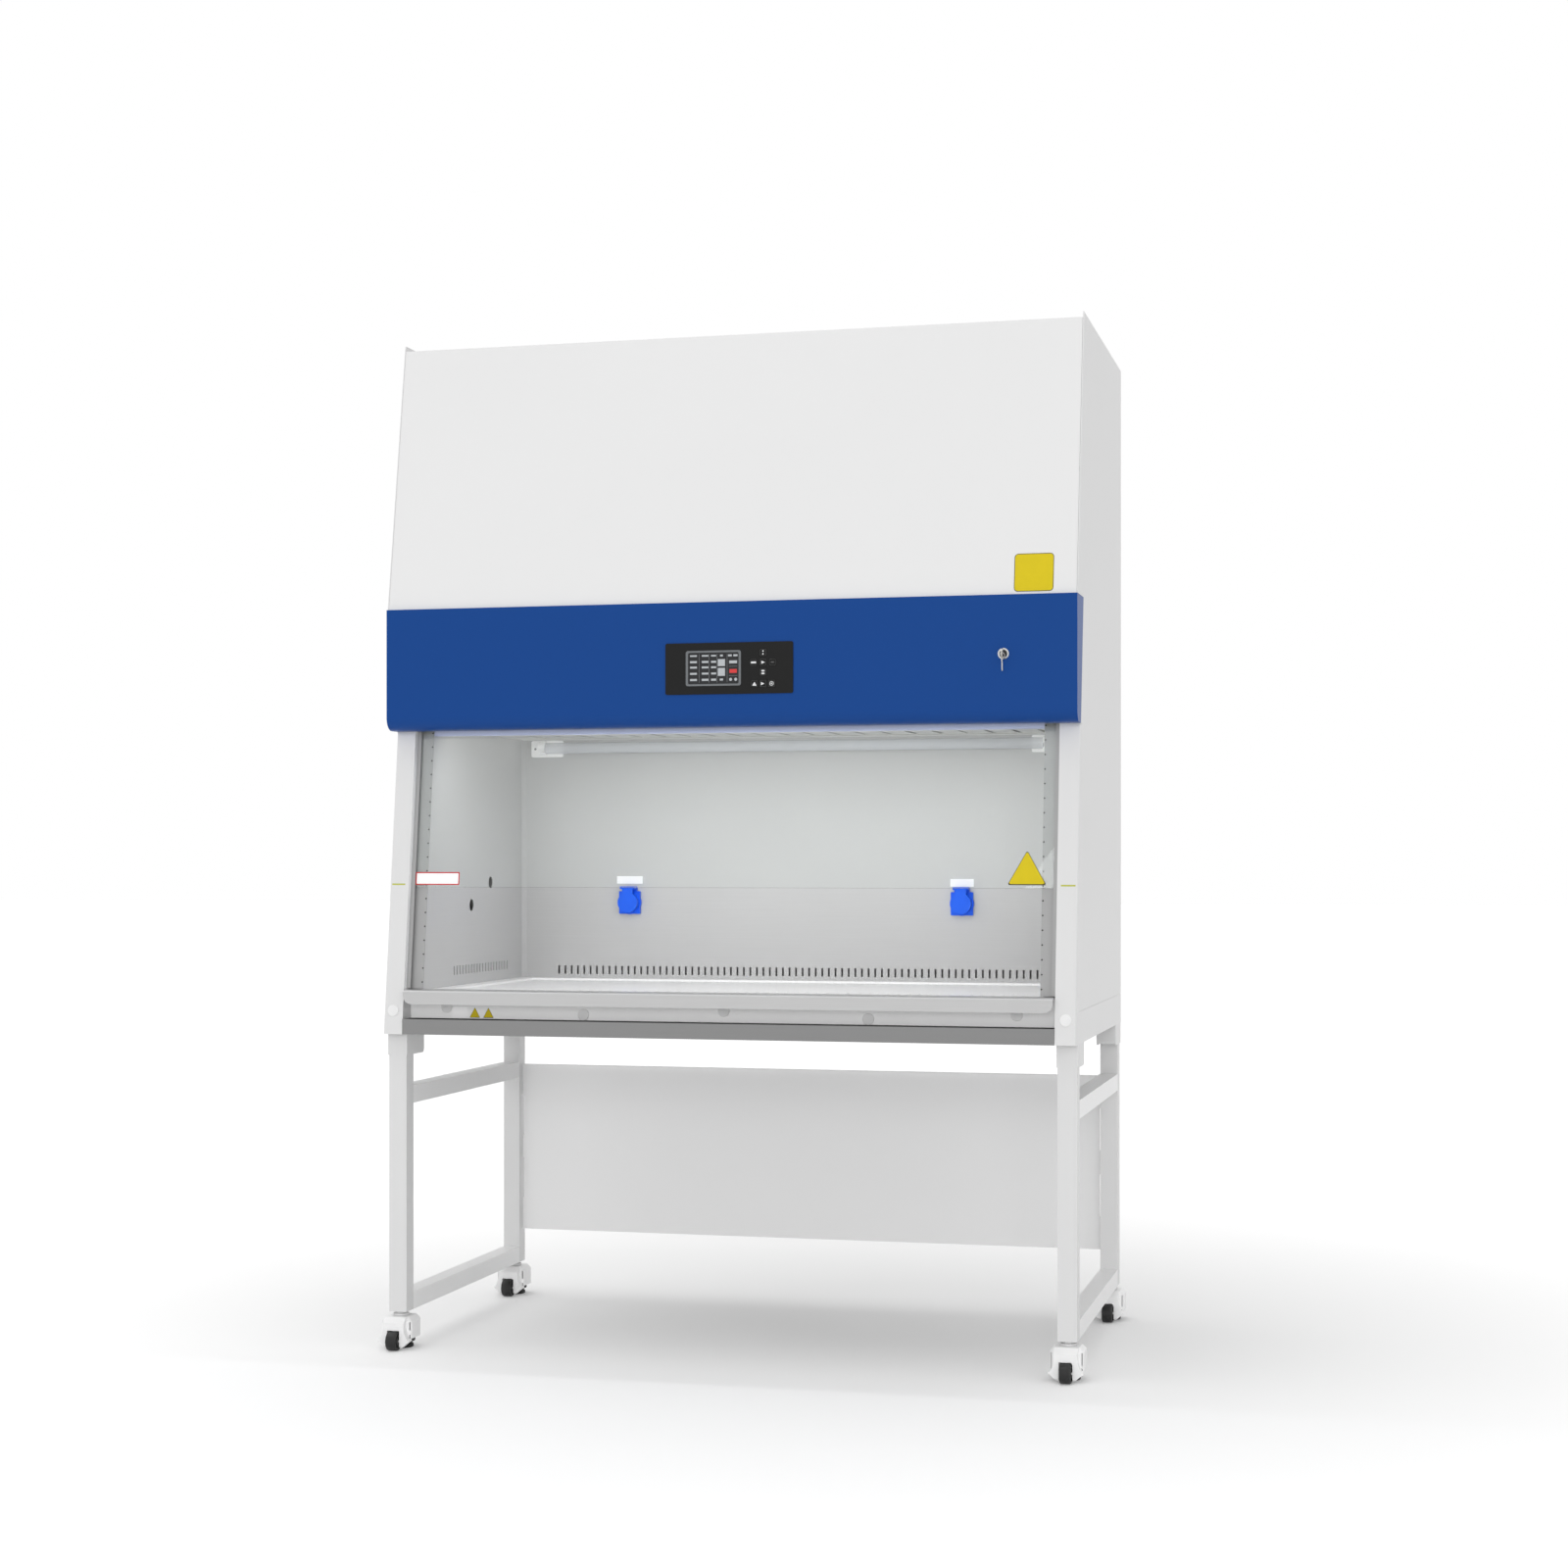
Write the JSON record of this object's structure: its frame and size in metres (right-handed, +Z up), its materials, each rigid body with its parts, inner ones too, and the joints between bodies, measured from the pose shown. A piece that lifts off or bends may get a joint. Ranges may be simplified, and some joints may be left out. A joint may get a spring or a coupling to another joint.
{
  "type": "biosafety cabinet",
  "caption": "Biosafety cabinet with a leaning front and sliding glass sash over a slotted stainless work zone, on a tubular stand with levelling castors.",
  "frame": {"origin": "on the floor, under the middle of the whole cabinet's box", "axes": "+Z up, +X to the user's right, -Y towards the user (the front)"},
  "size_m": [1.5276, 0.829, 2.193],
  "materials": {
    "white_paint": "fine texture",
    "blue_paint": "satin",
    "stainless": "brushed",
    "stainless_bright": "brushed",
    "grey_paint": "satin",
    "glass": "polished",
    "black_plastic": "satin",
    "dark_rubber": "matte",
    "screen": "glossy",
    "key_rubber": "matte",
    "chrome": "polished",
    "brass_key": "polished",
    "diffuser": "frosted",
    "lamp_glass": "polished",
    "socket_blue": "satin",
    "white_plastic": "satin",
    "filter_paper": "matte",
    "galvanised": "spangled",
    "zinc": "zinc plated",
    "belt_rubber": "matte",
    "grey_tyre": "matte",
    "grey_cast": "satin",
    "light_plastic": "satin"
  },
  "bodies": {
    "cabinet": {"side_panel_left": "white_paint", "side_panel_right": "white_paint", "back_panel": "white_paint", "top_panel": "white_paint", "upper_front_panel": "white_paint", "front_cover": "blue_paint", "work_light": "diffuser", "base_pan": "grey_paint", "cover_plugs": "light_plastic", "sash_guides": "stainless", "liner_sides": "stainless", "liner_back": "stainless", "work_tray": "stainless_bright", "armrest": "stainless_bright", "lower_front_panel": "white_paint", "drive_belts": "belt_rubber", "sash_motor": "grey_cast", "control_panel": "black_plastic", "display": "screen", "lock_barrel": "chrome", "uv_lamp": "lamp_glass", "lamp_holders": "white_plastic", "outlet_bases": "socket_blue", "supply_filter": "filter_paper", "exhaust_filter": "filter_paper", "plenum_box": "galvanised", "blower_housing": "galvanised", "stand_legs": "white_paint", "stand_rails": "white_paint", "stand_brackets": "white_paint", "stand_back_panel": "white_paint", "mains_gland": "black_plastic"},
    "sash": {"sash_glass": "glass", "sash_clamps": "zinc"},
    "upper_shaft": {"drive_shaft": "zinc"},
    "lower_shaft": {"return_shaft": "zinc"},
    "blower": {"blower_wheel": "grey_cast"},
    "switch_key": {"lock_key": "brass_key"},
    "lid_left": {"outlet_lid_left": "socket_blue"},
    "lid_right": {"outlet_lid_right": "socket_blue"},
    "pad_up": {"key_up": "key_rubber"},
    "pad_left": {"key_left": "key_rubber"},
    "pad_middle": {"key_middle": "key_rubber"},
    "pad_right": {"key_right": "key_rubber"},
    "pad_down": {"key_down": "key_rubber"},
    "pad_low_left": {"key_low_left": "key_rubber"},
    "pad_low_middle": {"key_low_middle": "key_rubber"},
    "pad_low_right": {"key_low_right": "key_rubber"},
    "hood_front_left": {"castor_hood_front_left": "light_plastic"},
    "wheel_front_left": {"castor_wheel_front_left": "grey_tyre"},
    "foot_front_left": {"castor_foot_front_left": "dark_rubber"},
    "hood_front_right": {"castor_hood_front_right": "light_plastic"},
    "wheel_front_right": {"castor_wheel_front_right": "grey_tyre"},
    "foot_front_right": {"castor_foot_front_right": "dark_rubber"},
    "hood_rear_left": {"castor_hood_rear_left": "light_plastic"},
    "wheel_rear_left": {"castor_wheel_rear_left": "grey_tyre"},
    "foot_rear_left": {"castor_foot_rear_left": "dark_rubber"},
    "hood_rear_right": {"castor_hood_rear_right": "light_plastic"},
    "wheel_rear_right": {"castor_wheel_rear_right": "grey_tyre"},
    "foot_rear_right": {"castor_foot_rear_right": "dark_rubber"}
  },
  "joints": [
    {"name": "sash_slide", "type": "slide", "parent": "cabinet", "child": "sash", "axis": [0, 0.1196, 0.9928], "range_m": [-0.22, 0.175]},
    {"name": "upper_shaft_spin", "type": "hinge", "parent": "cabinet", "child": "upper_shaft", "pos_m": [0, -0.27185, 1.87718], "axis": [1, 0, 0], "range_deg": [-593, 472]},
    {"name": "lower_shaft_spin", "type": "hinge", "parent": "cabinet", "child": "lower_shaft", "pos_m": [0, -0.33166, 1.38077], "axis": [1, 0, 0], "range_deg": [-593, 472]},
    {"name": "blower_spin", "type": "hinge", "parent": "cabinet", "child": "blower", "pos_m": [0, 0.22, 1.73], "axis": [0, 1, 0], "continuous": true},
    {"name": "switch_key_turn", "type": "hinge", "parent": "cabinet", "child": "switch_key", "pos_m": [0.599, -0.3795, 1.48], "axis": [0, 1, 0], "range_deg": [0, 90]},
    {"name": "lid_left_hinge", "type": "hinge", "parent": "cabinet", "child": "lid_left", "pos_m": [-0.407, 0.2652, 0.994], "axis": [-1, 0, 0], "range_deg": [0, 110], "stiffness_Nm_per_rad": 0.02, "springref_deg": -20.05},
    {"name": "lid_right_hinge", "type": "hinge", "parent": "cabinet", "child": "lid_right", "pos_m": [0.396, 0.2652, 0.994], "axis": [-1, 0, 0], "range_deg": [0, 110], "stiffness_Nm_per_rad": 0.02, "springref_deg": -20.05},
    {"name": "up_press", "type": "slide", "parent": "cabinet", "child": "pad_up", "axis": [0, 1, 0], "range_m": [0, 0.0008], "stiffness_N_per_m": 2500},
    {"name": "left_press", "type": "slide", "parent": "cabinet", "child": "pad_left", "axis": [0, 1, 0], "range_m": [0, 0.0008], "stiffness_N_per_m": 2500},
    {"name": "middle_press", "type": "slide", "parent": "cabinet", "child": "pad_middle", "axis": [0, 1, 0], "range_m": [0, 0.0008], "stiffness_N_per_m": 2500},
    {"name": "right_press", "type": "slide", "parent": "cabinet", "child": "pad_right", "axis": [0, 1, 0], "range_m": [0, 0.0008], "stiffness_N_per_m": 2500},
    {"name": "down_press", "type": "slide", "parent": "cabinet", "child": "pad_down", "axis": [0, 1, 0], "range_m": [0, 0.0008], "stiffness_N_per_m": 2500},
    {"name": "low_left_press", "type": "slide", "parent": "cabinet", "child": "pad_low_left", "axis": [0, 1, 0], "range_m": [0, 0.0008], "stiffness_N_per_m": 2500},
    {"name": "low_middle_press", "type": "slide", "parent": "cabinet", "child": "pad_low_middle", "axis": [0, 1, 0], "range_m": [0, 0.0008], "stiffness_N_per_m": 2500},
    {"name": "low_right_press", "type": "slide", "parent": "cabinet", "child": "pad_low_right", "axis": [0, 1, 0], "range_m": [0, 0.0008], "stiffness_N_per_m": 2500},
    {"name": "swivel_front_left", "type": "hinge", "parent": "cabinet", "child": "hood_front_left", "pos_m": [-0.728, -0.3495, 0.066], "axis": [0, 0, 1], "continuous": true},
    {"name": "roll_front_left", "type": "hinge", "parent": "hood_front_left", "child": "wheel_front_left", "pos_m": [-0.728, -0.3935, 0.021], "axis": [1, 0, 0], "continuous": true},
    {"name": "level_front_left", "type": "slide", "parent": "hood_front_left", "child": "foot_front_left", "axis": [0, 0, 1], "range_m": [-0.006, 0.008]},
    {"name": "swivel_front_right", "type": "hinge", "parent": "cabinet", "child": "hood_front_right", "pos_m": [0.728, -0.3495, 0.066], "axis": [0, 0, 1], "continuous": true},
    {"name": "roll_front_right", "type": "hinge", "parent": "hood_front_right", "child": "wheel_front_right", "pos_m": [0.728, -0.3935, 0.021], "axis": [1, 0, 0], "continuous": true},
    {"name": "level_front_right", "type": "slide", "parent": "hood_front_right", "child": "foot_front_right", "axis": [0, 0, 1], "range_m": [-0.006, 0.008]},
    {"name": "swivel_rear_left", "type": "hinge", "parent": "cabinet", "child": "hood_rear_left", "pos_m": [-0.728, 0.3655, 0.066], "axis": [0, 0, 1], "continuous": true},
    {"name": "roll_rear_left", "type": "hinge", "parent": "hood_rear_left", "child": "wheel_rear_left", "pos_m": [-0.728, 0.3215, 0.021], "axis": [1, 0, 0], "continuous": true},
    {"name": "level_rear_left", "type": "slide", "parent": "hood_rear_left", "child": "foot_rear_left", "axis": [0, 0, 1], "range_m": [-0.006, 0.008]},
    {"name": "swivel_rear_right", "type": "hinge", "parent": "cabinet", "child": "hood_rear_right", "pos_m": [0.728, 0.3655, 0.066], "axis": [0, 0, 1], "continuous": true},
    {"name": "roll_rear_right", "type": "hinge", "parent": "hood_rear_right", "child": "wheel_rear_right", "pos_m": [0.728, 0.3215, 0.021], "axis": [1, 0, 0], "continuous": true},
    {"name": "level_rear_right", "type": "slide", "parent": "hood_rear_right", "child": "foot_rear_right", "axis": [0, 0, 1], "range_m": [-0.006, 0.008]}
  ],
  "couplings": [
    {"joint": "upper_shaft_spin", "follows": "sash_slide", "rad_per_m": 46.948},
    {"joint": "lower_shaft_spin", "follows": "sash_slide", "rad_per_m": 46.948}
  ]
}
